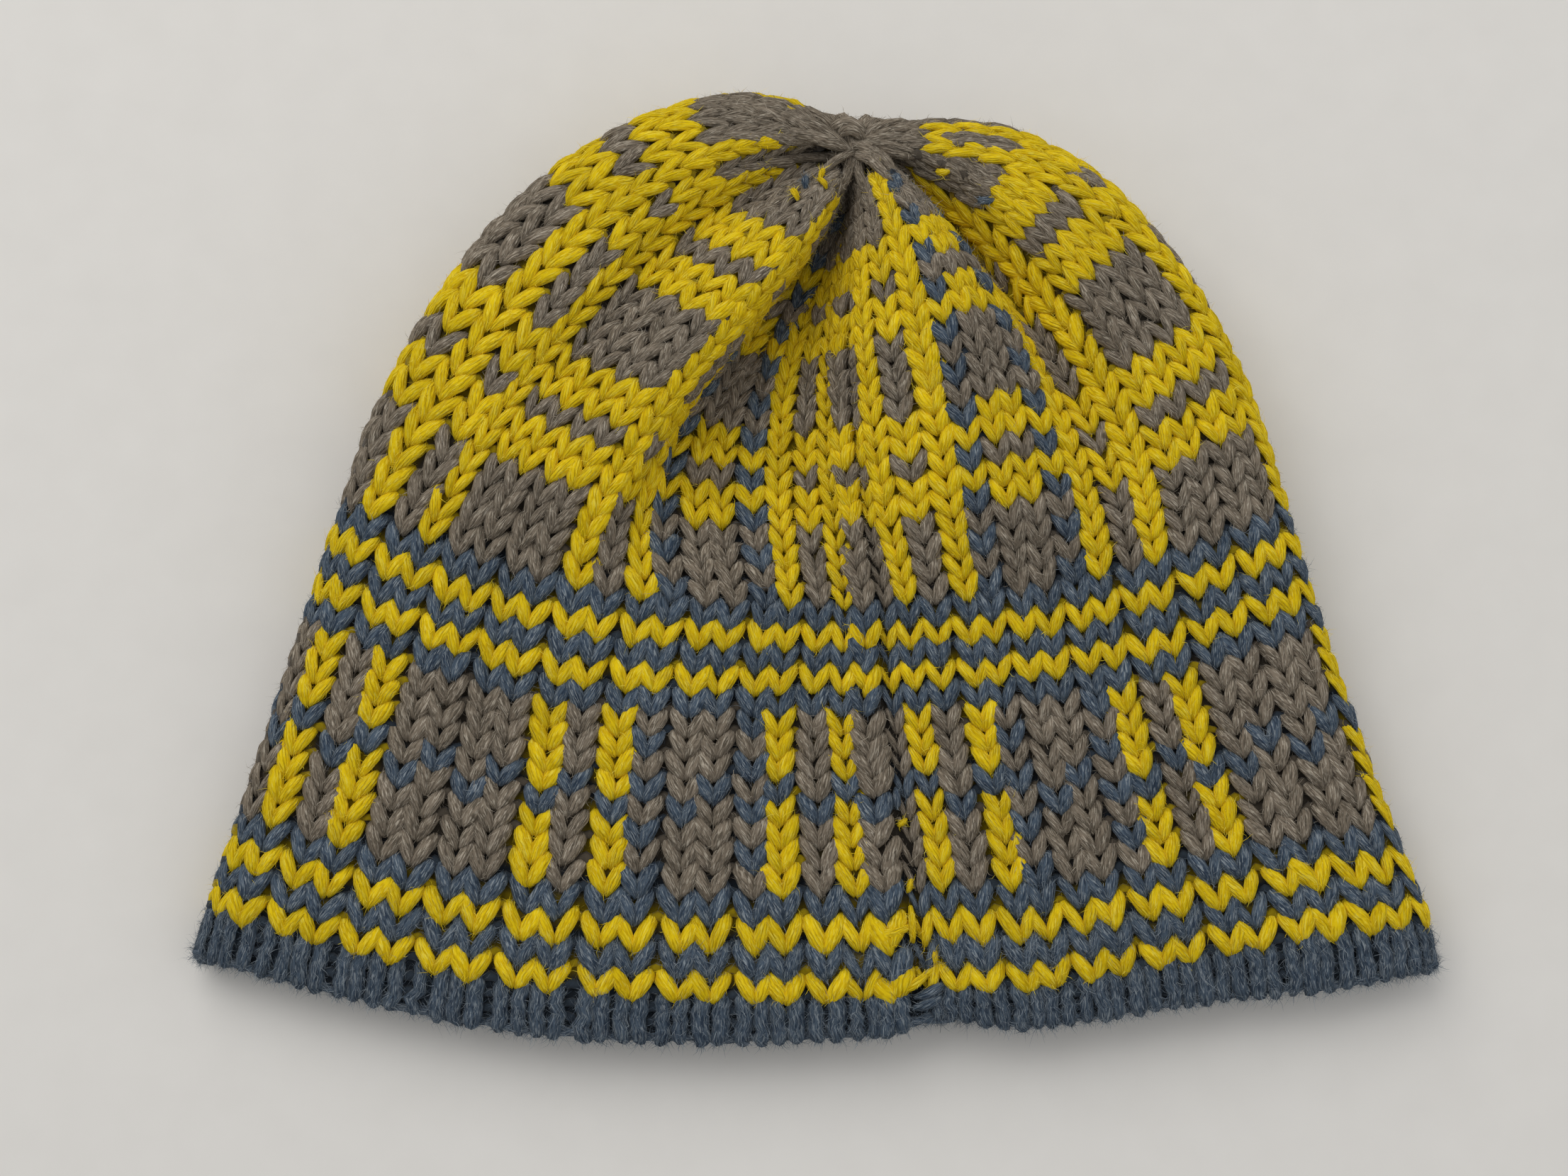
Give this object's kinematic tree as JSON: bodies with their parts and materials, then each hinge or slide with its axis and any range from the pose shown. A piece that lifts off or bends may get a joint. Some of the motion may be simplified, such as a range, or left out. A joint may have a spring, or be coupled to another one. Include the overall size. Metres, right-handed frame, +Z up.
{
  "type": "knit hat",
  "caption": "Ribbed knit wool hat with a drawn-in crown, striped and plaid in yellow, grey and blue, lying flat with its back seam up.",
  "frame": {"origin": "on the surface that the hat lies on, under the middle of its box", "axes": "+X across the hat to the right as seen with the back seam up and the hem towards the viewer, +Y from the hem to the crown, +Z up from the surface that it lies on"},
  "size_m": [0.2661, 0.2052, 0.0392],
  "materials": {
    "striped_wool": "soft heathered wool yarn, striped and plaid in yellow, grey and blue",
    "blue_wool": "soft heathered denim-blue wool yarn",
    "grey_wool": "soft heathered grey wool yarn"
  },
  "bodies": {
    "root": {"crown_knit": "striped_wool", "band_knit": "striped_wool", "hem_rib": "blue_wool", "crown_gather": "grey_wool"}
  },
  "joints": []
}
